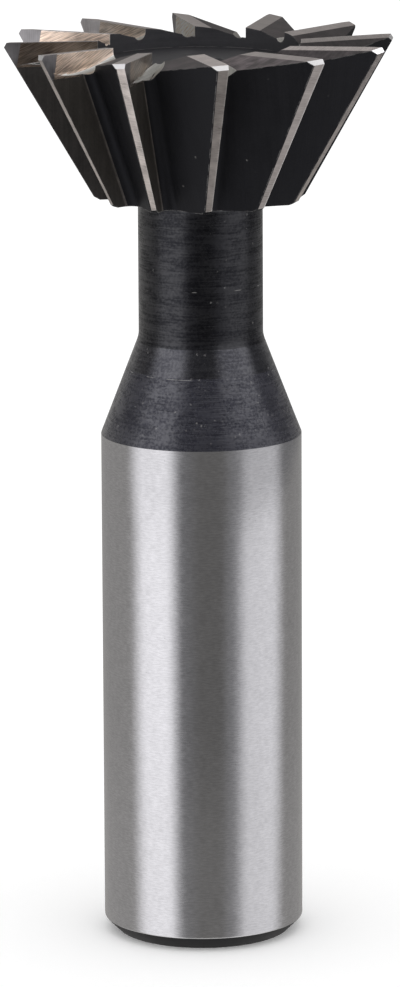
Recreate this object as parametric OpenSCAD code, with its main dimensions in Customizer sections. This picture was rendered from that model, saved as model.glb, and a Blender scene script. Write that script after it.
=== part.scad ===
// Dovetail milling cutter: one solid piece of steel with a plain shank, a taper, a neck and a toothed head.
// Lengths are in millimetres and angles in degrees.
// The cutter stands on the end of its shank at z = 0, its axis is z, and the teeth cut counter-clockwise
// as seen from above.

/* [Shank] */
// Diameter of the ground shank
shank_diameter = 16; // [15:0.1:18]
// Length of the ground cylinder with its chamfer
shank_length = 40.8; // [36:0.1:46]
// Chamfer around the end of the shank
shank_chamfer = 1.1; // [0.5:0.1:1.8]
// Height of the taper from the shank to the neck
taper_length = 7.9; // [6:0.1:10]

/* [Neck] */
// Diameter of the neck
neck_diameter = 9.9; // [9:0.1:10.5]
// Length of the neck up to the underside of the head
neck_length = 11; // [9:0.1:14]
// Fillet between the neck and the underside of the head
neck_fillet = 0.6; // [0.3:0.1:0.9]
// Fillet between the taper and the neck
taper_fillet = 2; // [1:0.1:3]

/* [Head] */
// Diameter over the corners of the teeth before they are faceted
head_diameter = 31.4; // [31:0.1:32.4]
// Height of the head
head_height = 12.7; // [12.2:0.1:13]
// Angle between the end face and the flank of the head
flank_angle = 60; // [59:0.5:61]
// Chamfer around the lower edge of the head
underside_chamfer = 0.4; // [0.2:0.05:0.6]
// Diameter of the recess in the end face
recess_diameter = 16; // [15:0.1:16.6]
// Depth of the recess in the end face
recess_depth = 1.8; // [1.6:0.1:2.4]

/* [Teeth] */
// Number of teeth
tooth_count = 12; // [11:1:12]
// Width of the ground land along the flank edge, at the corner
flank_land = 0.88; // [0.76:0.02:1]
// Width of the same land at the foot of the head
flank_land_foot = 0.56; // [0.46:0.02:0.66]
// Relief of the flank land behind its cutting edge
flank_relief = 12; // [9:0.5:13]
// Width of the facet that breaks each corner, at the cutting edge
corner_facet = 0.4; // [0.25:0.05:0.5]
// Relief of the corner facet behind the cutting edge
corner_relief = 18; // [12:0.5:20]
// Depth of the flute at the end face, down to the root before it is rounded
flute_depth = 4.6; // [4.4:0.1:4.8]
// Radius in the root of the flute
flute_radius = 0.8; // [0.6:0.05:0.9]
// Rake of the flute at the corner
flute_rake = 2.5; // [1.5:0.1:3.5]

/* [End teeth] */
// Width of the ground land along the end edge
end_land = 1.3; // [1.1:0.05:1.5]
// Relief of the end land
end_relief = 6; // [5:0.5:8]
// Second relief behind the end land
end_second_relief = 16; // [14:0.5:18]
// Hollow of the end edges towards the axis
end_dish = 1.2; // [0.8:0.1:1.6]
// Length of the end edge, from the corner, that stays on the flute's own rake face
gash_start = 1.2; // [0.8:0.1:1.6]
// Rake of the end gash
gash_rake = 6.5; // [5.5:0.1:7.5]
// Greatest depth of the end gash
gash_depth = 2; // [1.8:0.05:2.1]
// Distance of the deepest point of the gash from the corner
gash_lowest = 2.5; // [2.3:0.1:3.2]
// Radius of the wheel that the gash is ground with
wheel_radius = 14; // [13:0.5:16]
// Radius in the bottom of the gash
gash_radius = 0.55; // [0.4:0.05:0.65]
// Slope of the far wall of the gash
gash_wall = 45; // [40:0.5:50]

/* [Centre holes] */
// Diameter of the pilot of each centre hole
centre_pilot = 2; // [1.6:0.1:2.5]
// Diameter of the mouth of each centre hole
centre_mouth = 4.25; // [3.6:0.05:5]
// Depth of each centre hole with its pilot
centre_depth = 4; // [3.5:0.1:5]

/* [Hidden] */
$fn = 96;
steel = [0.62, 0.62, 0.61];

shank_r = shank_diameter / 2;
neck_r = neck_diameter / 2;
head_r = head_diameter / 2;
taper_top = shank_length + taper_length;
underside = taper_top + neck_length;
height = underside + head_height;
flank_tilt = 90 - flank_angle;
underside_r = head_r - head_height * tan(flank_tilt);
taper_slope = atan((shank_r - neck_r) / taper_length);
taper_tangent = taper_fillet * tan(taper_slope / 2);
pitch = 360 / tooth_count;
clear = 2;

// Flank land: outward normal, level direction behind its edge, and how far the edge runs in over the head
land_normal = [cos(flank_tilt) * cos(flank_relief), -sin(flank_relief), -sin(flank_tilt) * cos(flank_relief)];
land_back = [land_normal.y, -land_normal.x, 0] / norm([land_normal.x, land_normal.y]);
rake_in = [-cos(flute_rake), -sin(flute_rake), 0];
edge_run = head_height * land_normal.z / (land_normal.x * rake_in.x + land_normal.y * rake_in.y);

// Back wall of a flute: from its root at the end face to the far side of the next tooth's land
next_turn = [[cos(pitch), -sin(pitch), 0], [sin(pitch), cos(pitch), 0], [0, 0, 1]];
corner = [head_r, 0, 0];
root = corner + flute_depth * rake_in;
back_top = next_turn * (corner + flank_land * land_back) - root;
back_foot = next_turn * (corner + edge_run * rake_in - [0, 0, head_height] + flank_land_foot * land_back) - root;
back_normal = cross(back_foot, back_top);
root_way = cross([rake_in.y, -rake_in.x, 0], back_normal);
flute_slope = atan(abs(root_way * rake_in / root_way.z));
back_x = -(back_top * rake_in) * cos(flute_slope);
back_y = back_top * [rake_in.y, -rake_in.x, 0];
flute_angle = atan2(back_y, back_x);
flute_tangent = flute_radius / tan(flute_angle / 2);
flute_reach = 3 * flute_depth;
flute_run = (head_height + 0.5) / cos(flute_slope);

// Section of the wheel that grinds the end gash: centre of its round edge, and the cone behind it
edge_r = wheel_radius - gash_radius;
cone_r = edge_r + gash_radius * cos(gash_wall);
cone_z = gash_radius * (1 + sin(gash_wall));
cone_low_r = wheel_radius - gash_depth - clear;
cone_low_z = cone_z + (cone_r - cone_low_r) / tan(gash_wall);

// Drop of the end face behind its land
land_drop = end_land * tan(end_relief);
back_run = 2 * head_r * sin(pitch / 2) + clear;
back_drop = land_drop + (back_run - end_land) * tan(end_second_relief);

// Turned section from the shank to the head
module turned_section() {
    difference() {
        polygon([
            [0, 0],
            [shank_r - shank_chamfer, 0],
            [shank_r, shank_chamfer],
            [shank_r, shank_length],
            [neck_r + taper_tangent * sin(taper_slope), taper_top - taper_tangent * cos(taper_slope)],
            [neck_r + taper_fillet / 2, taper_top + taper_tangent],
            [neck_r, taper_top + taper_tangent],
            [neck_r, underside - neck_fillet],
            [neck_r + neck_fillet, underside - neck_fillet],
            [neck_r + neck_fillet, underside],
            [underside_r - underside_chamfer, underside],
            [underside_r + underside_chamfer * sin(flank_tilt), underside + underside_chamfer * cos(flank_tilt)],
            [head_r, height],
            [recess_diameter / 2, height],
            [recess_diameter / 2, height - recess_depth],
            [0, height - recess_depth]
        ]);
        translate([neck_r + taper_fillet, taper_top + taper_tangent])
            circle(r = taper_fillet);
        translate([neck_r + neck_fillet, underside - neck_fillet])
            circle(r = neck_fillet);
        centre_hole_section(0, 1);
        centre_hole_section(height - recess_depth, -1);
    }
}

// Section of a centre hole that opens at a height z and runs along the axis
module centre_hole_section(z, way) {
    mouth_r = centre_mouth / 2;
    pilot_r = centre_pilot / 2;
    cone = (mouth_r - pilot_r) / tan(30);
    polygon([
        [0, z - way],
        [mouth_r, z - way],
        [mouth_r, z],
        [pilot_r, z + way * cone],
        [pilot_r, z + way * centre_depth],
        [0, z + way * (centre_depth + pilot_r * tan(30))]
    ]);
}

// Straight flute along the flank, with its rake face on the tooth behind it
module flute() {
    translate([head_r, 0, height])
        rotate([0, 0, flute_rake])
            translate([-flute_depth, 0, 0])
                rotate([0, flute_slope, 0])
                    translate([0, 0, -flute_run])
                        linear_extrude(height = flute_run + flute_depth) {
                            polygon([
                                [flute_tangent, 0],
                                [flute_reach, 0],
                                [flute_reach * cos(flute_angle), flute_reach * sin(flute_angle)],
                                [flute_tangent * cos(flute_angle), flute_tangent * sin(flute_angle)]
                            ]);
                            translate([flute_tangent, flute_radius])
                                circle(r = flute_radius);
                        }
}

// Metal ground off to leave the relieved land along a flank edge
module flank_grinding() {
    translate([head_r, 0, height])
        rotate([0, 90 + flank_tilt, 0])
            rotate([flank_relief, 0, 0])
                translate([-clear, -3 * flank_land, 0])
                    cube([head_height / cos(flank_tilt) + 2 * clear, 3 * flank_land + 0.4, clear]);
}

// Metal ground off to break the corner of a tooth
module corner_grinding() {
    translate([head_r - corner_facet, 0, height])
        rotate([0, 45 + flank_tilt / 2, 0])
            rotate([corner_relief, 0, 0])
                translate([-clear, -3 * flank_land, 0])
                    cube([3 * clear, 3 * flank_land + 0.4, clear]);
}

// Place of a tooth's end edge, with x along the edge and y the way it cuts
module at_end_edge() {
    translate([head_r, 0, height])
        rotate([0, 0, flute_rake])
            translate([-gash_start, 0, 0])
                rotate([0, 0, gash_rake - flute_rake])
                    children();
}

// Grinding wheel in the gash across the end face, its flat side along a tooth's end edge
module end_gash() {
    at_end_edge()
        translate([gash_start - gash_lowest, 0, wheel_radius - gash_depth])
            rotate([-90, 0, 0])
                rotate_extrude() {
                    polygon([
                        [0, 0],
                        [edge_r, 0],
                        [edge_r, gash_radius],
                        [cone_r, cone_z],
                        [cone_low_r, cone_low_z],
                        [0, cone_low_z]
                    ]);
                    translate([edge_r, gash_radius])
                        circle(r = gash_radius);
                }
}

// Metal ground off to relieve the end face behind a tooth's end edge, back to the tooth behind it
module end_grinding() {
    difference() {
        at_end_edge()
            rotate([0, -end_dish, 0])
                rotate([90, 0, 90])
                    translate([0, 0, -head_r])
                        linear_extrude(height = head_r + 2 * clear)
                            polygon([
                                [0.4, clear],
                                [0.4, 0],
                                [0, 0],
                                [-end_land, -land_drop],
                                [-back_run, -back_drop],
                                [-back_run, clear]
                            ]);
        rotate([0, 0, -pitch])
            at_end_edge()
                translate([-2 * head_r, -2 * head_r, -head_r])
                    cube([3 * head_r, 2 * head_r, 2 * head_r]);
    }
}

// One copy of a cut for every tooth
module every_tooth() {
    for (tooth = [0 : tooth_count - 1])
        rotate([0, 0, tooth * pitch])
            children();
}

module fluted_blank() {
    difference() {
        rotate_extrude()
            turned_section();
        every_tooth()
            flute();
    }
}

module ground_flanks() {
    difference() {
        difference() {
            fluted_blank();
            every_tooth()
                flank_grinding();
        }
        every_tooth()
            corner_grinding();
    }
}

module dovetail_cutter() {
    color(steel)
        difference() {
            difference() {
                ground_flanks();
                every_tooth()
                    end_gash();
            }
            every_tooth()
                end_grinding();
        }
}

dovetail_cutter();
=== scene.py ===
# Looks of a dovetail milling cutter: a ground steel shank, a blackened neck and a head of twelve teeth

import math

import bmesh
import bpy
from mathutils import Matrix, Vector


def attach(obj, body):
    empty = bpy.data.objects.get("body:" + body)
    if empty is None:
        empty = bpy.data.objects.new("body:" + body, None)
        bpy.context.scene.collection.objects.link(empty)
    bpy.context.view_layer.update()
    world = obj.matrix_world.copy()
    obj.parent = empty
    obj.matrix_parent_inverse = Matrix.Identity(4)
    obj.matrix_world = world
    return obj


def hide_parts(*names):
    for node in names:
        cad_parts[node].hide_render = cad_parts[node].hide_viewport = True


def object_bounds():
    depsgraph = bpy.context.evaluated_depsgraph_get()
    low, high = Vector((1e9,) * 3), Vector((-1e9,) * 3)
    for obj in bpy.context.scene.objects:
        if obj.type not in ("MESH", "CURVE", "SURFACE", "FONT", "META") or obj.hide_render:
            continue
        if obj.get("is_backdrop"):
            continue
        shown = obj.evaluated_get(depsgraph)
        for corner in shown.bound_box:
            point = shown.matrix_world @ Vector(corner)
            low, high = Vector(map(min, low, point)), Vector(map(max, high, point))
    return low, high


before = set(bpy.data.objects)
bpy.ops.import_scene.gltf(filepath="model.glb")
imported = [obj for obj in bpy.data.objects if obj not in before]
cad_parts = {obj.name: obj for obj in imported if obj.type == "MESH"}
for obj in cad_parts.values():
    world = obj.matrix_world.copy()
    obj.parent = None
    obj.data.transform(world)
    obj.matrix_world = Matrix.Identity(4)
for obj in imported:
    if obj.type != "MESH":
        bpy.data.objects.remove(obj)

bl_info = {
    "name": "Dovetail cutter looks",
    "version": (1, 0, 0),
    "blender": (4, 5, 0),
    "location": "View3D > Sidebar > Cutter",
    "description": "Builds the surfaces of a dovetail cutter on its solid model, and a plain stage for it",
    "category": "Object",
}

NODE = "dovetail_cutter"
PIECE = "cutter_body"
MM = 0.001

# Sizes and limits, in millimetres, by which each surface of the solid model is recognised
TEETH = 12
SHANK_TOP = 40.8
CHAMFER_TOP = 1.1
COLLAR_FOOT = 46.2
TAPER_TOP = 48.3
UNDERSIDE = 59.7
TOP = 72.4
STRIP_DEPTH = 1.95
STRIP_LEAN = math.radians(10)
END_LAND_MOST_DEPTH = 0.8
RECESS_RADIUS = 8.0
RECESS_LEAST_DEPTH = 1.0
HOLE_RADIUS = 2.2
FLANK_SLOPE = math.radians(60)
TOOTH_STEP = 2 * math.pi / TEETH
# What still counts as the same level, radius or angle
LEVEL_SLACK = 0.01
EDGE_SLACK = 0.1
TURN_SLACK = math.radians(0.1)

# Where the normals of a tooth's faces point, as cosines: outward from the axis, ahead as it turns, or up
FLAT_AHEAD = 0.985
FLAT_UP = 0.985
UPRIGHT = 0.06
UNDERSIDE_UP = -0.95
RECESS_WALL_OUT = -0.8
RECESS_FLOOR_UP = 0.99
CORNER_OUT = 0.7
CORNER_UP_LEAST = 0.4
CORNER_UP_MOST = 0.55
LAND_OUT = 0.8
LAND_UP = -0.44
LAND_AHEAD = -0.15
RELIEF_UP = 0.92
RELIEF_AHEAD = -0.2
GASH_OUT = -0.075
GASH_AHEAD = 0.93
TROUGH_UP = 0.03
ROOT_AHEAD = 0.94

# Where the tool marks lie: the radius at which turned marks are unrolled and a shift that keeps the teeth from
# looking alike, in millimetres, and how the marks slant on turned faces, gashes, troughs and other tooth faces
TURNED_RADIUS = 8.0
TURNED_SLANT = 0.5
TOOTH_SHIFT = 37.0
GASH_RISE = 0.4
GASH_REACH = 0.92
TROUGH_SLANT = 1.4
FACE_SLANT = 0.8

# The surfaces, in the order of their material slots
(
    SHANK, CHAMFER, TAPER, COLLAR, NECK, FLUTE, ROOT, STRIP,
    BACK, LAND, CORNER, END_LAND, RELIEF, GASH, TROUGH, RECESS,
) = range(16)
TURNED = (SHANK, CHAMFER, TAPER, COLLAR, NECK, RECESS)

# How bright each tooth's ground faces are, one value a tooth, counted from the X axis: partly the tone the
# wheel left, partly painted light and shade that brighten or darken a tooth's faces by how they catch the
# light, up to painted highlights on some troughs
TOOTH_TONES_AND_PAINTED_LIGHT = {
    LAND: (1.0, 1.0, 0.9, 1.0, 1.1, 1.0, 1.1, 1.65, 1.57, 0.9, 0.74, 1.6),
    CORNER: (1.0, 0.9, 1.0, 0.95, 1.0, 0.9, 0.95, 0.9, 0.86, 1.05, 0.85, 0.95),
    END_LAND: (0.88, 1.0, 0.82, 1.0, 1.0, 1.0, 1.0, 1.0, 1.0, 1.36, 1.04, 1.4),
    STRIP: (1.0, 0.9, 1.1, 1.0, 1.9, 0.64, 1.05, 0.88, 1.0, 1.1, 0.9, 1.0),
    RELIEF: (0.9, 1.0, 1.3, 1.0, 1.2, 1.0, 1.3, 1.1, 1.2, 1.45, 2.9, 1.6),
    GASH: (1.0, 0.9, 1.1, 1.85, 1.1, 1.26, 0.72, 1.03, 0.82, 1.0, 0.9, 1.1),
    TROUGH: (1.0, 1.0, 1.1, 1.0, 1.2, 1.5, 0.16, 1.35, 1.1, 1.1, 1.0, 1.0),
}
# How far from the axis each tooth's gash ends and its rake strip starts, along the end edge, in millimetres
TOOTH_STRIPS = (14.1, 14.0, 14.15, 13.9, 13.1, 13.6, 14.15, 13.95, 14.0, 14.1, 14.15, 14.0)
# How far the wheel's heat browned each tooth's gash
TOOTH_BROWNING = (0.2, 0.4, 0.2, 0.0, 0.1, 0.45, 0.55, 0.5, 0.0, 0.3, 0.3, 0.1)

# Colours of what lies on a finish or shows through it, and the near-white of the glint painted along ground
# edges, and how strongly they show
DUST = (0.16, 0.15, 0.14, 1)
DUST_SHARE = 0.35
# The painted glint: near-white steel painted along the edges of bare ground steel
PAINTED_GLINT_STEEL = (0.95, 0.93, 0.9, 1)
BARE_STEEL = (0.3, 0.29, 0.28, 1)
BARE_SHARE = 0.6
OXIDE_TINT = (0.87, 0.88, 1.0, 1.0)
BROWN_PATCH_SHARE = 0.5
# What makes the oxide skin uneven: fine tool marks among all marks, clouds and grit, and the grit in those
SKIN_FINE_MARKS = 0.55
SKIN_CLOUDS = 0.45
SKIN_GRIT = 0.45
# The range of tool marks and grit over which the skin's sheen rises
SHEEN_LOW = 0.24
SHEEN_HIGH = 0.76


def mm(value):
    return value * MM


# Node trees

# The range that holds most values of a noise
NOISE_LOW = 0.3
NOISE_HIGH = 0.7


def new_group(name, values, masks):
    """A shader node group from a Vector and named values to named masks: its tree and its two ends."""
    tree = bpy.data.node_groups.new(name, "ShaderNodeTree")
    tree.interface.new_socket("Vector", in_out="INPUT", socket_type="NodeSocketVector")
    for label, value in values.items():
        socket = tree.interface.new_socket(label, in_out="INPUT", socket_type="NodeSocketFloat")
        socket.default_value = value
    for label in masks:
        tree.interface.new_socket(label, in_out="OUTPUT", socket_type="NodeSocketFloat")
    return tree, tree.nodes.new("NodeGroupInput").outputs, tree.nodes.new("NodeGroupOutput").inputs


def add(tree, kind, links=None, **settings):
    """A node with its settings and inputs: links maps an input to a socket to join or a value to set."""
    node = tree.nodes.new(kind)
    for key, value in settings.items():
        setattr(node, key, value)
    for key, value in (links or {}).items():
        if isinstance(value, bpy.types.NodeSocket):
            tree.links.new(value, node.inputs[key])
        else:
            node.inputs[key].default_value = value
    return node


def calc(tree, operation, a, b=0.0):
    return add(tree, "ShaderNodeMath", {0: a, 1: b}, operation=operation).outputs[0]


def noise(tree, point, scale, detail):
    links = {"Vector": point, "Scale": scale, "Detail": detail}
    return add(tree, "ShaderNodeTexNoise", links).outputs[0]


def stretch(tree, value, low, high, to_low=0.0, to_high=1.0, smooth=True):
    """The value stretched from one range to another and clamped."""
    links = {0: value, 1: low, 2: high, 3: to_low, 4: to_high}
    kind = "SMOOTHSTEP" if smooth else "LINEAR"
    return add(tree, "ShaderNodeMapRange", links, interpolation_type=kind).outputs[0]


def blend(tree, share, a, b):
    """Colour a where share is 0 and b where it is 1."""
    return add(tree, "ShaderNodeMix", {0: share, 6: a, 7: b}, data_type="RGBA").outputs[2]


def between(tree, share, a, b):
    """Value a where share is 0 and b where it is 1."""
    return add(tree, "ShaderNodeMix", {0: share, 2: a, 3: b}).outputs[0]


def scaled(tree, colour, share):
    """A colour times a value."""
    return add(tree, "ShaderNodeVectorMath", {0: colour, "Scale": share}, operation="SCALE").outputs[0]


def solid(colour, share=1.0):
    """A colour with its alpha, darkened to a share of itself."""
    return (*(part * share for part in colour), 1.0)


def grain_group():
    """Fine lines left by a grinding wheel or a turning tool: long along u, close along v, in millimetres."""
    tree, given, made = new_group("Tool marks", {"Length": 6.0, "Pitch": 0.08}, ("Lines", "Broad"))
    split = add(tree, "ShaderNodeSeparateXYZ", {0: given["Vector"]}).outputs
    along = calc(tree, "DIVIDE", split[0], given["Length"])
    across = calc(tree, "DIVIDE", split[1], given["Pitch"])
    wide = calc(tree, "MULTIPLY", across, 0.16)
    for mask, side, detail in (("Lines", across, 3.0), ("Broad", wide, 1.0)):
        point = add(tree, "ShaderNodeCombineXYZ", {0: along, 1: side, 2: split[2]}).outputs[0]
        marks = noise(tree, point, 1.0, detail)
        tree.links.new(stretch(tree, marks, NOISE_LOW, NOISE_HIGH), made[mask])
    return tree


def speck_group():
    """Small specks of dust and bare metal, uneven in size and gathered in places."""
    tree, given, made = new_group("Specks", {"Spacing": 0.5, "Size": 0.12, "Share": 0.2}, ("Mask",))
    scale = calc(tree, "DIVIDE", 1.0, given["Spacing"])
    links = {"Vector": given["Vector"], "Scale": scale, "Randomness": 1.0}
    cells = add(tree, "ShaderNodeTexVoronoi", links, feature="F1").outputs
    near = stretch(tree, cells["Distance"], 0.0, given["Size"], 1.0, 0.0)
    chance = add(tree, "ShaderNodeSeparateColor", {0: cells["Color"]}).outputs[0]
    crowds = noise(tree, given["Vector"], calc(tree, "MULTIPLY", scale, 0.22), 1.0)
    gathered = stretch(tree, crowds, 0.46, 0.64, 0.1, 2.5)
    some = calc(tree, "LESS_THAN", chance, calc(tree, "MULTIPLY", given["Share"], gathered))
    uneven = noise(tree, given["Vector"], calc(tree, "MULTIPLY", scale, 6.0), 2.0)
    ragged = calc(tree, "MULTIPLY", near, stretch(tree, uneven, 0.38, 0.6))
    tree.links.new(calc(tree, "MULTIPLY", ragged, some), made["Mask"])
    return tree


def mottle_group():
    """A soft cloudy unevenness of a finish."""
    tree, given, made = new_group("Mottle", {"Size": 2.0}, ("Mask",))
    scale = calc(tree, "DIVIDE", 1.0, given["Size"])
    cloud = noise(tree, given["Vector"], scale, 4.0)
    tree.links.new(stretch(tree, cloud, NOISE_LOW, NOISE_HIGH), made["Mask"])
    return tree


def broken(tree, mask, breaks, cover, barest, fade):
    """A line's mask broken up by a noise: cover tells how much of the line is left."""
    free = calc(tree, "SUBTRACT", barest, calc(tree, "MULTIPLY", cover, 0.5))
    seen = stretch(tree, breaks, free, calc(tree, "ADD", free, fade))
    return calc(tree, "MULTIPLY", mask, seen)


def ring_group():
    """A thin broken bright line round a turned surface, where a tool or a chuck touched it."""
    tree, given, made = new_group("Ring line", {"Level": 0.0, "Width": 0.05, "Cover": 0.5}, ("Mask",))
    height = add(tree, "ShaderNodeSeparateXYZ", {0: given["Vector"]}).outputs[2]
    away = calc(tree, "ABSOLUTE", calc(tree, "SUBTRACT", height, given["Level"]))
    line = stretch(tree, away, 0.0, given["Width"], 1.0, 0.0)
    breaks = noise(tree, given["Vector"], 0.7, 3.0)
    tree.links.new(broken(tree, line, breaks, given["Cover"], 0.78, 0.08), made["Mask"])
    return tree


def wear_and_glint_group():
    """Thin broken lines along the edges: bare steel where a black skin wears off, and a painted glint on bare
    ground steel.
    """
    tree, given, made = new_group("Edge wear and glint", {"Width": 0.06, "Cover": 0.7}, ("Mask",))
    reach = calc(tree, "MULTIPLY", given["Width"], MM)
    rounded = add(tree, "ShaderNodeBevel", {"Radius": reach}, samples=4).outputs[0]
    flat = add(tree, "ShaderNodeNewGeometry").outputs["Normal"]
    links = {0: rounded, 1: flat}
    same = add(tree, "ShaderNodeVectorMath", links, operation="DOT_PRODUCT").outputs["Value"]
    edge = stretch(tree, same, 0.998, 0.95)
    breaks = noise(tree, given["Vector"], 1.3, 4.0)
    tree.links.new(broken(tree, edge, breaks, given["Cover"], 0.8, 0.15), made["Mask"])
    return tree


class Finishes:
    """The shared effects, as node groups, and the two kinds of steel finish that use them."""

    def __init__(self):
        self.grain = grain_group()
        self.specks = speck_group()
        self.mottle = mottle_group()
        self.ring = ring_group()
        self.edges = wear_and_glint_group()

    def start(self, name):
        """A new material, its tree and shader, and the places on the tool marks and on the cutter."""
        material = bpy.data.materials.new(name)
        material.use_nodes = True
        tree = material.node_tree
        shader = tree.nodes["Principled BSDF"]
        marks = add(tree, "ShaderNodeUVMap", uv_map="grind").outputs[0]
        place = add(tree, "ShaderNodeTexCoord").outputs["Object"]
        return material, tree, shader, marks, scaled(tree, place, 1 / MM)

    def use(self, tree, group, **links):
        return add(tree, "ShaderNodeGroup", links, node_tree=group).outputs

    def tones(self, tree, lines, fine):
        """Fine and broad tool marks added up: fine is the share of the fine ones."""
        close = calc(tree, "MULTIPLY", lines["Lines"], fine)
        return calc(tree, "ADD", close, calc(tree, "MULTIPLY", lines["Broad"], 1 - fine))

    def heated(self, tree, points, colour, tint):
        """Browned patches, and a browning that differs from tooth to tooth."""
        patches = self.use(tree, self.mottle, Vector=points, Size=2.6)["Mask"]
        browned = add(tree, "ShaderNodeAttribute", attribute_name="browning").outputs["Fac"]
        share = between(tree, browned, calc(tree, "MULTIPLY", patches, BROWN_PATCH_SHARE), 1.0)
        links = {0: share, 6: colour, 7: solid(tint)}
        return add(tree, "ShaderNodeMix", links, data_type="RGBA", blend_type="MULTIPLY").outputs[2]

    def bump(self, tree, shader, height, strength, depth):
        links = {"Height": height, "Strength": strength, "Distance": mm(depth)}
        tree.links.new(add(tree, "ShaderNodeBump", links).outputs[0], shader.inputs["Normal"])

    def ground(
        self, name, colour, contrast, rough, length, pitch, strength,
        fine=0.75, speck=0.1, cloudy=0.2, spread=0.0, tint=None, wear_and_glint=0.0, depth=0.01,
    ):
        """Bare ground steel: two tones along the wheel marks, uneven roughness and fine lines; each tooth's
        tone carries painted light and shade, and its edges may carry a painted glint.
        """
        material, tree, shader, marks, points = self.start(name)
        lines = self.use(tree, self.grain, Vector=marks, Length=length, Pitch=pitch)
        cloud = self.use(tree, self.mottle, Vector=points, Size=1.2)["Mask"]
        share = between(tree, cloudy, self.tones(tree, lines, fine), cloud)
        steel = blend(tree, share, solid(colour, 1 - contrast), solid(colour))
        if tint:
            steel = self.heated(tree, points, steel, tint)
        # Painted light and shade: the colour is scaled by the tooth's tone, which also stands in for how that
        # tooth catches the light
        shade = add(tree, "ShaderNodeAttribute", attribute_name="shade").outputs["Fac"]
        steel = scaled(tree, steel, shade)
        dots = self.use(tree, self.specks, Vector=points, Spacing=0.45, Size=0.22, Share=speck)["Mask"]
        steel = blend(tree, calc(tree, "MULTIPLY", dots, DUST_SHARE), steel, DUST)
        # A painted glint: where asked, near-white steel is painted along the edges of bare ground steel
        if wear_and_glint:
            edge = self.use(tree, self.edges, Vector=points, Width=0.12, Cover=1.0)["Mask"]
            steel = blend(tree, calc(tree, "MULTIPLY", edge, wear_and_glint), steel, PAINTED_GLINT_STEEL)
        tree.links.new(steel, shader.inputs["Base Color"])
        tree.links.new(stretch(tree, share, 0.0, 1.0, *rough, smooth=False), shader.inputs["Roughness"])
        shader.inputs["Metallic"].default_value = 1.0
        if spread:
            shader.inputs["Anisotropic"].default_value = spread
            shader.inputs["Anisotropic Rotation"].default_value = 0.25
            across = add(tree, "ShaderNodeTangent", direction_type="UV_MAP", uv_map="grind")
            tree.links.new(across.outputs[0], shader.inputs["Tangent"])
        self.bump(tree, shader, lines["Lines"], strength, depth)
        return material

    def blackened(
        self, name, colour, contrast, rough, length, pitch, strength, speck=0.1, gloss=0.5,
        sheen=0.0, sheen_ior=1.5, ring=None, wear_and_glint=0.0, depth=0.01, gritty=0.34,
    ):
        """Steel under a black oxide skin: tool marks and grit show in its sheen, bare specks lie on it."""
        material, tree, shader, marks, points = self.start(name)
        lines = self.use(tree, self.grain, Vector=marks, Length=length, Pitch=pitch)
        cloud = self.use(tree, self.mottle, Vector=points, Size=1.6)["Mask"]
        grit = self.use(tree, self.mottle, Vector=points, Size=0.2)["Mask"]
        marked = self.tones(tree, lines, SKIN_FINE_MARKS)
        share = between(tree, SKIN_CLOUDS, marked, between(tree, SKIN_GRIT, cloud, grit))
        skin = blend(tree, share, solid(colour, 1 - contrast), solid(colour))
        dots = self.use(tree, self.specks, Vector=points, Spacing=0.6, Size=0.24, Share=speck)["Mask"]
        bare = calc(tree, "MULTIPLY", dots, BARE_SHARE)
        if ring:
            line = self.use(tree, self.ring, Vector=points, Level=ring, Width=0.05, Cover=0.48)["Mask"]
            bare = calc(tree, "MAXIMUM", bare, calc(tree, "MULTIPLY", line, BARE_SHARE))
        if wear_and_glint:
            edge = self.use(tree, self.edges, Vector=points, Width=0.11, Cover=0.8)["Mask"]
            bare = calc(tree, "MAXIMUM", bare, calc(tree, "MULTIPLY", edge, wear_and_glint))
        tree.links.new(blend(tree, bare, skin, BARE_STEEL), shader.inputs["Base Color"])
        tree.links.new(stretch(tree, share, 0.0, 1.0, *rough, smooth=False), shader.inputs["Roughness"])
        if sheen:
            sparkle = between(tree, gritty, marked, grit)
            coat = stretch(tree, sparkle, SHEEN_LOW, SHEEN_HIGH, 0.0, sheen, smooth=False)
            tree.links.new(coat, shader.inputs["Coat Weight"])
        shader.inputs["Coat Roughness"].default_value = rough[0]
        shader.inputs["Coat IOR"].default_value = sheen_ior
        shader.inputs["Specular IOR Level"].default_value = gloss
        shader.inputs["Specular Tint"].default_value = OXIDE_TINT
        self.bump(tree, shader, lines["Lines"], strength, depth)
        return material


# Materials, one function a surface: lengths, pitches and depths of the tool marks are in millimetres


def shank_steel(finish, look):
    return finish.ground(
        "Ground shank", look.shank_colour, contrast=0.235, rough=(0.12, 0.19),
        length=0.5, pitch=0.11, strength=0.16, speck=0.12, wear_and_glint=0.8,
    )


def chamfer_steel(finish, look):
    return finish.blackened(
        "Blackened chamfer", look.chamfer_colour, contrast=0.45, rough=(0.45, 0.6),
        length=6.0, pitch=0.1, strength=0.2, speck=0.04, gloss=0.18,
    )


def cone_steel(finish, look):
    return finish.blackened(
        "Blackened cone", look.cone_colour, contrast=0.54, rough=(0.2, 0.34),
        length=2.0, pitch=0.17, strength=1.0, depth=0.04, speck=0.3,
        sheen=1.0, sheen_ior=1.64, ring=46.1, gritty=0.5,
    )


def collar_steel(finish, look):
    return finish.blackened(
        "Blackened collar", look.collar_colour, contrast=0.7, rough=(0.17, 0.26),
        length=3.0, pitch=0.22, strength=0.6, depth=0.025, speck=0.18,
        gloss=0.9, sheen=1.0, sheen_ior=1.6, gritty=0.5,
    )


def neck_steel(finish, look):
    return finish.blackened(
        "Blackened neck", look.neck_colour, contrast=0.8, rough=(0.2, 0.36),
        length=4.0, pitch=0.15, strength=0.9, depth=0.018, speck=0.12,
        gloss=0.3, sheen=0.9, ring=52.95,
    )


def flute_steel(finish, look):
    return finish.blackened(
        "Blackened flute face", look.flute_colour, contrast=0.48, rough=(0.4, 0.55),
        length=6.0, pitch=0.12, strength=0.3, speck=0.03, gloss=0.2, wear_and_glint=0.5,
    )


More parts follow.
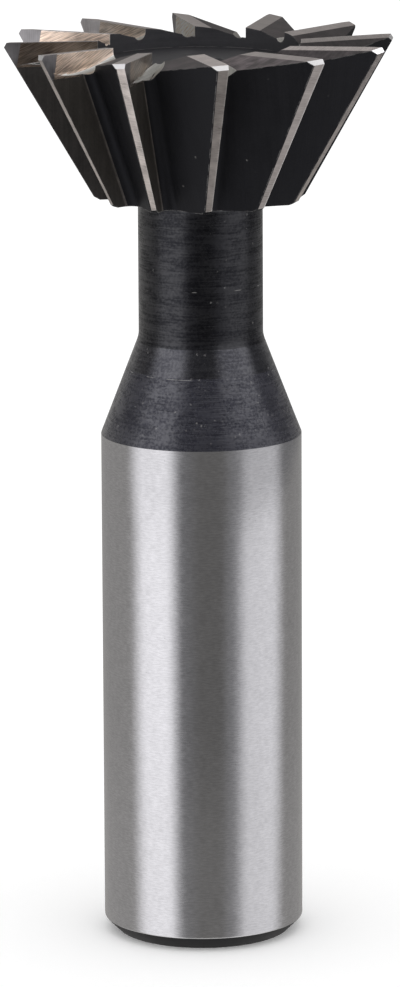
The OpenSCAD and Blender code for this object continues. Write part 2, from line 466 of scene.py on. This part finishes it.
# A painted highlight: the flute root is coloured lighter than the flute face, where a concave root fillet
# catches a line of light
def root_highlight_steel(finish, look):
    return finish.blackened(
        "Flute root highlight", look.root_highlight_colour, contrast=0.75, rough=(0.35, 0.5),
        length=0.8, pitch=0.3, strength=0.3, speck=0.2, gloss=0.3,
    )


def strip_steel(finish, look):
    return finish.ground(
        "Ground rake strip", look.strip_colour, contrast=0.34, rough=(0.3, 0.4),
        length=1.0, pitch=0.09, strength=0.3, speck=0.25, cloudy=0.4,
    )


def back_steel(finish, look):
    return finish.blackened(
        "Blackened tooth back", look.back_colour, contrast=0.5, rough=(0.42, 0.56),
        length=6.0, pitch=0.14, strength=0.3, speck=0.015, gloss=0.16, wear_and_glint=0.5,
    )


def land_steel(finish, look):
    return finish.ground(
        "Ground flank land", look.land_colour, contrast=0.48, rough=(0.26, 0.38),
        length=0.9, pitch=0.07, strength=0.25, speck=0.3, cloudy=0.45, wear_and_glint=0.5,
    )


def corner_steel(finish, look):
    return finish.ground(
        "Ground corner", look.corner_colour, contrast=0.075, rough=(0.3, 0.4),
        length=1.0, pitch=0.08, strength=0.1,
    )


def end_land_steel(finish, look):
    return finish.ground(
        "Ground end land", look.end_land_colour, contrast=0.4, rough=(0.3, 0.42),
        length=1.5, pitch=0.07, strength=0.25, wear_and_glint=0.5,
    )


def relief_steel(finish, look):
    return finish.ground(
        "Ground relief", look.relief_colour, contrast=0.84, rough=(0.4, 0.55),
        length=1.2, pitch=0.2, strength=0.4, cloudy=0.55,
    )


def gash_steel(finish, look):
    return finish.ground(
        "Ground gash", look.gash_colour, contrast=0.66, rough=(0.27, 0.36),
        length=1.5, pitch=0.085, strength=0.6, fine=0.88, speck=0.25, cloudy=0.12,
        spread=0.85, tint=look.heat_colour, wear_and_glint=0.7,
    )


def trough_steel(finish, look):
    return finish.ground(
        "Ground trough", look.trough_colour, contrast=0.37, rough=(0.34, 0.46),
        length=4.0, pitch=0.14, strength=0.3, wear_and_glint=0.7,
    )


def recess_steel(finish, look):
    return finish.blackened(
        "Blackened recess", look.recess_colour, contrast=0.4, rough=(0.45, 0.6),
        length=8.0, pitch=0.12, strength=0.3, speck=0.03, gloss=0.3, wear_and_glint=0.4,
    )


# The materials in slot order
MATERIALS = (
    shank_steel, chamfer_steel, cone_steel, collar_steel, neck_steel, flute_steel,
    root_highlight_steel, strip_steel, back_steel, land_steel, corner_steel, end_land_steel,
    relief_steel, gash_steel, trough_steel, recess_steel,
)


# The body


def tooth_number(point):
    """Which tooth a point of the head belongs to, counted from the X axis."""
    return math.ceil((math.atan2(point.y, point.x) - TURN_SLACK) / TOOTH_STEP) % TEETH


def tooth_frame(point):
    """The radial and turning directions of the tooth that a point of the head belongs to."""
    angle = tooth_number(point) * TOOTH_STEP
    return Vector((math.cos(angle), math.sin(angle), 0)), Vector((-math.sin(angle), math.cos(angle), 0))


def strip_line(point):
    """A point, and the outward direction, of the leaning line where a tooth's gash meets its strip."""
    radial = tooth_frame(point)[0]
    start = TOOTH_STRIPS[tooth_number(point)] * radial + Vector((0, 0, TOP))
    return start, math.cos(STRIP_LEAN) * radial + Vector((0, 0, math.sin(STRIP_LEAN)))


def shank_or_neck(centre, reach):
    """Which turned surface a face below the head belongs to."""
    if reach < HOLE_RADIUS or centre.z < CHAMFER_TOP - LEVEL_SLACK:
        return CHAMFER
    if centre.z < SHANK_TOP + EDGE_SLACK:
        return SHANK
    if centre.z < COLLAR_FOOT:
        return TAPER
    return COLLAR if centre.z < TAPER_TOP else NECK


def in_recess(centre, reach, out, up):
    """Whether a face is the wall, floor or centre hole of the recess in the end face."""
    if reach >= RECESS_RADIUS + EDGE_SLACK:
        return False
    on_floor = up > RECESS_FLOOR_UP and centre.z < TOP - RECESS_LEAST_DEPTH
    return out < RECESS_WALL_OUT or reach < HOLE_RADIUS or on_floor


def tooth_front(centre, out):
    """Which part of a tooth's flat front a face belongs to."""
    if centre.z < TOP - STRIP_DEPTH:
        return GASH if out < GASH_OUT else FLUTE
    start, outward = strip_line(centre)
    return STRIP if (centre - start).dot(outward) > 0 else GASH


def surface_of(centre, normal):
    """Which surface of the cutter a face belongs to, from its middle in millimetres and its normal."""
    reach = math.hypot(centre.x, centre.y)
    if centre.z < UNDERSIDE - LEVEL_SLACK:
        return shank_or_neck(centre, reach)
    radial, turning = tooth_frame(centre)
    out, ahead, up = normal.dot(radial), normal.dot(turning), normal.z
    if up < UNDERSIDE_UP:
        return NECK
    if in_recess(centre, reach, out, up):
        return RECESS
    if out > CORNER_OUT and CORNER_UP_LEAST < up < CORNER_UP_MOST:
        return CORNER
    if out > LAND_OUT and up < LAND_UP and ahead < LAND_AHEAD:
        return LAND
    if up > FLAT_UP and centre.z > TOP - END_LAND_MOST_DEPTH:
        return END_LAND
    if up > RELIEF_UP and ahead < RELIEF_AHEAD:
        return RELIEF
    if ahead > FLAT_AHEAD and abs(up) < UPRIGHT:
        return tooth_front(centre, out)
    if up > TROUGH_UP:
        return GASH if ahead > GASH_AHEAD else TROUGH
    if ahead > FLAT_AHEAD:
        return FLUTE
    return ROOT if ahead > ROOT_AHEAD else BACK


def turned_marks(point, centre):
    """Where a point of a turned face lies along and across its tool marks, unrolled from its middle."""
    turn = 2 * math.pi * TURNED_RADIUS
    along = math.atan2(point.y, point.x) * TURNED_RADIUS
    middle = math.atan2(centre.y, centre.x) * TURNED_RADIUS
    along += turn * round((middle - along) / turn)
    return along, point.z + math.hypot(point.x, point.y) * TURNED_SLANT


def tooth_marks(point, surface, centre):
    """Where a point of a tooth lies along and across the wheel's marks on its surface."""
    radial, turning = tooth_frame(centre)
    out, ahead, up = point.dot(radial), point.dot(turning), point.z
    along_flank = out * math.cos(FLANK_SLOPE) + up * math.sin(FLANK_SLOPE)
    shift = TOOTH_SHIFT * math.atan2(centre.y, centre.x)
    if surface in (LAND, CORNER):
        return ahead + shift, along_flank
    if surface in (BACK, FLUTE, ROOT, STRIP):
        return along_flank + shift, ahead * FACE_SLANT + out
    if surface == GASH:
        return up * GASH_RISE - out * GASH_REACH + shift, up * GASH_REACH + out * GASH_RISE
    if surface == TROUGH:
        return out + shift, up * TROUGH_SLANT - ahead
    return ahead + shift, out


def is_tooth_front(face):
    """Whether a face is the flat front of a tooth, on the flute's rake face or in the gash."""
    centre = face.calc_center_median() / MM
    if centre.z <= UNDERSIDE or abs(face.normal.z) >= UPRIGHT:
        return False
    return face.normal.dot(tooth_frame(centre)[1]) > FLAT_AHEAD


def split_face(body, faces, point, normal):
    """Cut flat faces along a plane: the parts on the side the normal points to, and the other parts."""
    parts = set(faces).union(*(face.edges for face in faces), *(face.verts for face in faces))
    made = bmesh.ops.bisect_plane(body, geom=list(parts), plane_co=point, plane_no=normal, dist=mm(0.001))
    ahead, behind = [], []
    for face in made["geom"]:
        if isinstance(face, bmesh.types.BMFace):
            side = ahead if (face.calc_center_median() - point).dot(normal) > 0 else behind
            side.append(face)
    return ahead, behind


def clean_copy(source):
    """The solid's mesh with its seams joined and its flat faces made whole."""
    body = bmesh.new()
    body.from_mesh(source)
    bmesh.ops.remove_doubles(body, verts=body.verts, dist=mm(0.0005))
    bmesh.ops.dissolve_limit(
        body, angle_limit=math.radians(0.2), use_dissolve_boundaries=False,
        verts=body.verts, edges=body.edges,
    )
    return body


def cut_surfaces(body):
    """Cut the cone at the collar's foot, and each tooth's front where its gash meets its strip."""
    everything = body.verts[:] + body.edges[:] + body.faces[:]
    bmesh.ops.bisect_plane(body, geom=everything, plane_co=(0, 0, mm(COLLAR_FOOT)), plane_no=(0, 0, 1))
    for face in [face for face in body.faces if is_tooth_front(face)]:
        start, outward = strip_line(face.calc_center_median() / MM)
        upper = split_face(body, [face], Vector((0, 0, mm(TOP - STRIP_DEPTH))), Vector((0, 0, 1)))[0]
        split_face(body, upper, start * MM, outward)


def is_shank_corner(edge, sharp_angle):
    """Whether an edge is a turned corner at an end of the shank, away from the centre hole."""
    if edge.verts[0].co.z >= mm(SHANK_TOP + 1) or not edge.is_manifold:
        return False
    reach = min(math.hypot(*vert.co.xy) for vert in edge.verts)
    return reach > mm(HOLE_RADIUS + 1) and edge.calc_face_angle(0.0) > sharp_angle


def round_shank_corners(body, look):
    corners = [edge for edge in body.edges if is_shank_corner(edge, look.sharp_angle)]
    bmesh.ops.bevel(
        body, geom=corners, offset=look.rounding, offset_type="OFFSET",
        segments=3, profile=0.5, affect="EDGES", material=-1,
    )
    body.normal_update()


def dress_faces(body):
    """Give each face its surface, its tooth's tone with painted light and shade in it, its tooth's browning,
    and the run of its tool marks.
    """
    grind = body.loops.layers.uv.new("grind")
    # The shade layer holds each tooth's tone with painted light and shade in it
    shade = body.faces.layers.float.new("shade")
    browning = body.faces.layers.float.new("browning")
    for face in body.faces:
        centre = face.calc_center_median() / MM
        tooth = tooth_number(centre)
        surface = surface_of(centre, face.normal)
        face.material_index = surface
        face.smooth = True
        face[shade] = TOOTH_TONES_AND_PAINTED_LIGHT[surface][tooth] if surface in TOOTH_TONES_AND_PAINTED_LIGHT else 1.0
        face[browning] = TOOTH_BROWNING[tooth]
        for loop in face.loops:
            point = loop.vert.co / MM
            turned = surface in TURNED
            loop[grind].uv = turned_marks(point, centre) if turned else tooth_marks(point, surface, centre)


def narrow_lands(body, width):
    """Blacken a thin strip along the trailing side of each flank land."""
    for land in [face for face in body.faces if face.material_index == LAND]:
        middle = land.calc_center_median()
        turning = tooth_frame(middle / MM)[1]
        longest = max(edge.calc_length() for edge in land.edges)
        sides = [edge.verts for edge in land.edges if edge.calc_length() > longest / 2]
        ends = [(a.co, b.co) for a, b in sides]
        start, end = min(ends, key=lambda side: (side[0] + side[1]).dot(turning))
        inward = land.normal.cross(end - start).normalized()
        if inward.dot(middle - start) < 0:
            inward.negate()
        for strip in split_face(body, [land], start + inward * width, inward)[1]:
            strip.material_index = BACK


def cutter_mesh(source, look):
    """A copy of the solid's mesh with its surfaces cut, named and marked."""
    body = clean_copy(source)
    cut_surfaces(body)
    round_shank_corners(body, look)
    dress_faces(body)
    narrow_lands(body, look.land_edge)
    for edge in body.edges:
        edge.smooth = edge.is_manifold and edge.calc_face_angle(0.0) < look.sharp_angle
    mesh = bpy.data.meshes.new(PIECE)
    body.to_mesh(mesh)
    body.free()
    return mesh


# Stage

WARM = (1.0, 0.98, 0.96)
COOL = (0.975, 0.97, 1.0)
TENT_BASE = (0.75, 0.74, 0.73, 1)
TENT_FOOT = (0.5, 0.49, 0.48, 1)

# Light levels round the tent, at the height that each part mirrors: degrees from the camera, level
SHANK_LIGHT = (
    (-180, 0.27), (-86, 0.27), (-61, 0.98), (-39, 1.0), (-19, 0.16), (0, 0.12),
    (18, 0.12), (30, 0.2), (51, 0.71), (79, 0.75), (104, 0.24), (180, 0.27),
)
NECK_LIGHT = (
    (-180, 0.27), (-89, 0.27), (-66, 0.88), (-39, 0.92), (-19, 0.16), (0, 0.12),
    (20, 0.12), (34, 0.2), (54, 0.48), (80, 0.5), (102, 0.16), (180, 0.2),
)
GASH_LIGHT = (
    (-180, 0.12), (-92, 0.16), (-68, 1.0), (-38, 1.0), (-18, 0.13),
    (20, 0.11), (36, 0.66), (80, 0.8), (94, 0.1), (180, 0.1),
)
END_LIGHT = (
    (-180, 0.2), (-92, 0.22), (-70, 0.72), (-36, 0.72), (-18, 0.08),
    (30, 0.08), (50, 1.0), (102, 1.0), (120, 0.19), (180, 0.19),
)
END_LIGHT_STRENGTH = 1.45
# The two soft panels, in degrees from the camera
PANELS = ((-80, -15), (25, 103))
# Spans of height, in millimetres, in which the tent's light turns into that of the next part or greys
NECK_LIGHT_SPAN = (34, 40)
GASH_LIGHT_SPAN = (50, 54)
END_LIGHT_SPAN = (74, 79)
FOOT_SPAN = (12, -5)
FOOT_GREY = 0.09
BASE_TO_LID_SPAN = (0, 50)
BASE_GREY = 0.55
# The span from front to back, in millimetres, in which the lid dims, and its two levels
LID_SPAN = (-30, 4)
LID_FRONT = 0.8
LID_BACK = 0.24


def turned_levels(tree, share, stops):
    """Light levels round the tent, cool in the two soft panels and warm between them."""
    ramp = add(tree, "ShaderNodeValToRGB", {0: share})
    ramp.color_ramp.interpolation = "EASE"
    elements = ramp.color_ramp.elements
    while len(elements) < len(stops):
        elements.new(0.5)
    for element, (angle, level) in zip(elements, stops):
        in_panel = any(left < angle < right for left, right in PANELS)
        element.position = (angle + 180) / 360
        element.color = solid(COOL if in_panel else WARM, level)
    return ramp.outputs[0]


def passed(tree, place, span):
    """0 before a span in millimetres along an axis, and 1 past it."""
    return stretch(tree, place, mm(span[0]), mm(span[1]))


def tent_wall(tree, height, share):
    """The tent's round wall: two soft panels beside the cutter, dark towards the camera, grey behind."""
    wall = turned_levels(tree, share, SHANK_LIGHT)
    neck = turned_levels(tree, share, NECK_LIGHT)
    gash = turned_levels(tree, share, GASH_LIGHT)
    end = scaled(tree, turned_levels(tree, share, END_LIGHT), END_LIGHT_STRENGTH)
    wall = blend(tree, passed(tree, height, NECK_LIGHT_SPAN), wall, neck)
    wall = blend(tree, passed(tree, height, GASH_LIGHT_SPAN), wall, gash)
    wall = blend(tree, passed(tree, height, END_LIGHT_SPAN), wall, end)
    low = calc(tree, "MULTIPLY", passed(tree, height, FOOT_SPAN), FOOT_GREY)
    return blend(tree, low, wall, TENT_FOOT)


def tent_ends(tree, depth, height, share):
    """The tent's base, grey with a glow of the panels, and its lid, bright to the front."""
    base = blend(tree, BASE_GREY, turned_levels(tree, share, SHANK_LIGHT), TENT_BASE)
    lid = between(tree, passed(tree, depth, LID_SPAN), LID_FRONT, LID_BACK)
    return blend(tree, passed(tree, height, BASE_TO_LID_SPAN), base, lid)


def tent_material(look):
    """The light of the tent, on its wall and its ends."""
    material = bpy.data.materials.new("Light tent")
    material.use_nodes = True
    tree = material.node_tree
    tree.nodes.clear()
    place = add(tree, "ShaderNodeTexCoord").outputs["Object"]
    right, depth, height = add(tree, "ShaderNodeSeparateXYZ", {0: place}).outputs
    turn = calc(tree, "ARCTAN2", right, calc(tree, "MULTIPLY", depth, -1.0))
    share = stretch(tree, turn, -math.pi, math.pi, smooth=False)
    flat = add(tree, "ShaderNodeCombineXYZ", {0: right, 1: depth}).outputs[0]
    reach = add(tree, "ShaderNodeVectorMath", {0: flat}, operation="LENGTH").outputs["Value"]
    on_ends = stretch(tree, reach, look.tent_radius * 0.99, look.tent_radius * 0.98)
    wall = tent_wall(tree, height, share)
    colour = blend(tree, on_ends, wall, tent_ends(tree, depth, height, share))
    light = add(tree, "ShaderNodeEmission", {0: colour, 1: look.panel_strength})
    out = add(tree, "ShaderNodeOutputMaterial")
    tree.links.new(light.outputs[0], out.inputs[0])
    return material


def floor_material(look):
    """A plain pale floor with the faintest cloud in it, lifted to white where it is seen or mirrored."""
    material = bpy.data.materials.new("Pale floor")
    material.use_nodes = True
    tree = material.node_tree
    shader = tree.nodes["Principled BSDF"]
    place = add(tree, "ShaderNodeTexCoord").outputs["Object"]
    cloud = noise(tree, place, 8.0, 2.0)
    colour = blend(tree, cloud, solid(look.floor_colour, 0.985), solid(look.floor_colour))
    tree.links.new(colour, shader.inputs["Base Color"])
    shader.inputs["Roughness"].default_value = 0.9
    shader.inputs["Specular IOR Level"].default_value = 0.0
    shader.inputs["Emission Color"].default_value = solid(look.floor_colour)
    rays = add(tree, "ShaderNodeLightPath").outputs
    mirrored = calc(tree, "MAXIMUM", rays["Is Glossy Ray"], rays["Is Transmission Ray"])
    seen = calc(tree, "MAXIMUM", rays["Is Camera Ray"], mirrored)
    tree.links.new(calc(tree, "MULTIPLY", seen, look.floor_lift), shader.inputs["Emission Strength"])
    return material


def link(obj):
    bpy.context.scene.collection.objects.link(obj)
    return obj


def number_property(name, description, default, unit="NONE"):
    return bpy.props.FloatProperty(name=name, description=description, default=default, unit=unit)


def colour_property(name, description, default):
    return bpy.props.FloatVectorProperty(
        name=name, description=description, default=default, size=3, min=0.0, max=1.0, subtype="COLOR"
    )


class CutterBodyLook(bpy.types.PropertyGroup):
    """How the cutter's own surfaces are made."""

    sharp_angle: number_property(
        "Sharp angle", "Edges that turn by more than this stay sharp", math.radians(24), "ROTATION"
    )
    rounding: number_property("Rounding", "Width of the shank's broken corners", mm(0.09), "LENGTH")
    land_edge: number_property("Land edge", "Width of the black strip behind a land", mm(0.08), "LENGTH")
    shank_colour: colour_property("Shank", "Bare ground steel of the shank", (0.69, 0.685, 0.695))
    chamfer_colour: colour_property("Chamfer", "Black skin at the shank's foot", (0.0067, 0.0063, 0.0058))
    cone_colour: colour_property("Cone", "Black skin of the cone above the shank", (0.024, 0.024, 0.0347))
    collar_colour: colour_property("Collar", "Black skin of the cone's collar", (0.0056, 0.0056, 0.0078))
    neck_colour: colour_property("Neck", "Black skin of the neck", (0.0056, 0.0056, 0.0076))
    flute_colour: colour_property("Flute face", "Brown-black skin of rake faces", (0.0414, 0.037, 0.0325))
    # A painted highlight along the flute root
    root_highlight_colour: colour_property("Flute root", "Painted highlight along a flute's root", (0.095, 0.083, 0.074))
    strip_colour: colour_property("Rake strip", "Ground strip at a gash's outer end", (0.5, 0.48, 0.485))
    back_colour: colour_property("Tooth back", "Black skin of the tooth backs", (0.01, 0.01, 0.0112))
    land_colour: colour_property("Flank land", "Ground lands along the flank", (0.6, 0.545, 0.51))
    corner_colour: colour_property("Corner", "Ground corners of the teeth", (0.95, 0.94, 0.94))
    end_land_colour: colour_property("End land", "Ground lands on the end of the head", (0.76, 0.69, 0.67))
    relief_colour: colour_property("End relief", "Ground slopes behind the end lands", (0.14, 0.121, 0.125))
    gash_colour: colour_property("Gash", "Ground gashes in front of the end edges", (0.98, 0.89, 0.81))
    heat_colour: colour_property("Gash heat", "Brown tint left by the wheel's heat", (0.86, 0.66, 0.5))
    trough_colour: colour_property("Gash trough", "Round bottoms of the gashes", (0.66, 0.65, 0.615))
    recess_colour: colour_property("Recess", "Black skin of the end recess", (0.048, 0.047, 0.05))


class CutterStageLook(bpy.types.PropertyGroup):
    """How the cutter is lit and seen."""

    floor_radius: number_property("Floor radius", "Reach of the pale floor", 1.5, "LENGTH")
    floor_colour: colour_property("Floor", "Pale floor", (1.0, 1.0, 1.0))
    floor_lift: number_property("Floor lift", "How much whiter the floor is seen than lit", 0.12)
    tent_radius: number_property("Tent radius", "Distance of the tent wall from the axis", mm(45), "LENGTH")
    tent_foot: number_property("Tent foot", "Level of the tent's pale base", mm(-30), "LENGTH")
    tent_top: number_property("Tent top", "Level of the tent's lid", mm(100), "LENGTH")
    panel_strength: number_property("Panel strength", "Level of the brighter soft panel", 1.3)
    sky_colour: colour_property("Sky", "Even light all round", (1.0, 1.0, 1.0))
    sky_strength: number_property("Sky strength", "Level of the even white light all round", 1.0)
    camera_turn: number_property(
        "Camera turn", "Turn of the camera about the cutter", math.radians(-8.28), "ROTATION"
    )
    camera_rise: number_property(
        "Camera rise", "Height of the camera as an angle", math.radians(12.064), "ROTATION"
    )
    camera_roll: number_property(
        "Camera roll", "Tilt of the camera about its own line of sight", math.radians(-0.281), "ROTATION"
    )
    camera_distance: number_property(
        "Camera distance", "From the camera to the point it looks at", 0.4958, "LENGTH"
    )
    camera_lens: number_property("Lens", "Focal length on a sensor 36 mm wide", 226.2, "CAMERA")
    aim: bpy.props.FloatVectorProperty(
        name="Aim", description="The point the camera looks at", size=3, subtype="XYZ",
        default=(mm(-0.134), mm(0.019), mm(35.756)),
    )


class CUTTER_OT_body(bpy.types.Operator):
    """Build the cutter's surfaces on its solid model"""

    bl_idname = "cutter.body"
    bl_label = "Cutter body"

    def execute(self, context):
        look = context.scene.cutter_body
        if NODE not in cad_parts:
            raise RuntimeError(f"the solid model has no node named {NODE}")
        mesh = cutter_mesh(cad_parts[NODE].data, look)
        piece = link(bpy.data.objects.new(PIECE, mesh))
        finish = Finishes()
        for make in MATERIALS:
            mesh.materials.append(make(finish, look))
        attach(piece, "root")
        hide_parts(NODE)
        return {"FINISHED"}


class CUTTER_OT_stage(bpy.types.Operator):
    """Lay the floor, hang the light tent and place the camera"""

    bl_idname = "cutter.stage"
    bl_label = "Stage"

    def execute(self, context):
        scene = context.scene
        look = scene.cutter_stage
        low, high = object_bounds()
        widest = max(abs(side) for corner in (low, high) for side in corner[:2])
        if widest > look.tent_radius or high[2] > look.tent_top:
            raise RuntimeError("the light tent is too small for the cutter")
        self.floor(look)
        self.tent(look)
        self.sky(scene, look)
        self.camera(scene, look)
        scene.view_settings.view_transform = "Standard"
        return {"FINISHED"}

    def floor(self, look):
        mesh = bpy.data.meshes.new("floor")
        sheet = bmesh.new()
        bmesh.ops.create_circle(sheet, cap_ends=True, segments=96, radius=look.floor_radius)
        sheet.to_mesh(mesh)
        sheet.free()
        mesh.materials.append(floor_material(look))
        floor = link(bpy.data.objects.new("floor", mesh))
        floor.visible_glossy = False
        floor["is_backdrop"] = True

    def tent(self, look):
        """A round tent that only polished metal mirrors: the camera and the even light pass through it."""
        mesh = bpy.data.meshes.new("light_tent")
        wall = bmesh.new()
        rings = []
        for height in (look.tent_foot, look.tent_top):
            made = bmesh.ops.create_circle(wall, cap_ends=False, segments=180, radius=look.tent_radius)
            bmesh.ops.translate(wall, verts=made["verts"], vec=(0, 0, height))
            rings.append(made["verts"])
        bmesh.ops.bridge_loops(wall, edges=wall.edges[:])
        for ring in rings:
            wall.faces.new(ring)
        wall.to_mesh(mesh)
        wall.free()
        mesh.materials.append(tent_material(look))
        tent = link(bpy.data.objects.new("light_tent", mesh))
        tent.rotation_euler.z = look.camera_turn
        tent.visible_camera = False
        tent.visible_diffuse = False
        tent.visible_shadow = False
        tent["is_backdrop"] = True

    def sky(self, scene, look):
        world = bpy.data.worlds.new("Even light")
        world.use_nodes = True
        shader = world.node_tree.nodes["Background"]
        shader.inputs["Color"].default_value = solid(look.sky_colour)
        shader.inputs["Strength"].default_value = look.sky_strength
        scene.world = world

    def camera(self, scene, look):
        lens = bpy.data.cameras.new("camera")
        lens.lens = look.camera_lens
        lens.sensor_width = 36.0
        lens.clip_start = 0.01
        lens.clip_end = 20.0
        eye = link(bpy.data.objects.new("camera", lens))
        turn, rise = look.camera_turn, look.camera_rise
        level = Vector((math.sin(turn), -math.cos(turn), 0))
        back = level * math.cos(rise) + Vector((0, 0, math.sin(rise)))
        facing = (-back).to_track_quat("-Z", "Y").to_matrix()
        eye.matrix_world = Matrix.LocRotScale(
            Vector(look.aim) + back * look.camera_distance,
            facing @ Matrix.Rotation(look.camera_roll, 3, "Z"),
            None,
        )
        scene.camera = eye


class CUTTER_PT_panel(bpy.types.Panel):
    """The cutter's settings in the sidebar"""

    bl_idname = "CUTTER_PT_panel"
    bl_label = "Dovetail cutter"
    bl_space_type = "VIEW_3D"
    bl_region_type = "UI"
    bl_category = "Cutter"

    def draw(self, context):
        for settings, operator in (("cutter_body", "cutter.body"), ("cutter_stage", "cutter.stage")):
            group = getattr(context.scene, settings)
            box = self.layout.box()
            for name in group.__annotations__:
                box.prop(group, name)
            box.operator(operator)


CLASSES = (CutterBodyLook, CutterStageLook, CUTTER_OT_body, CUTTER_OT_stage, CUTTER_PT_panel)


def register():
    for item in CLASSES:
        bpy.utils.register_class(item)
    bpy.types.Scene.cutter_body = bpy.props.PointerProperty(type=CutterBodyLook)
    bpy.types.Scene.cutter_stage = bpy.props.PointerProperty(type=CutterStageLook)


def unregister():
    del bpy.types.Scene.cutter_stage
    del bpy.types.Scene.cutter_body
    for item in reversed(CLASSES):
        bpy.utils.unregister_class(item)


def main():
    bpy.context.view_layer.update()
    register()
    bpy.ops.cutter.body()
    bpy.ops.cutter.stage()


if __name__ == "__main__":
    main()
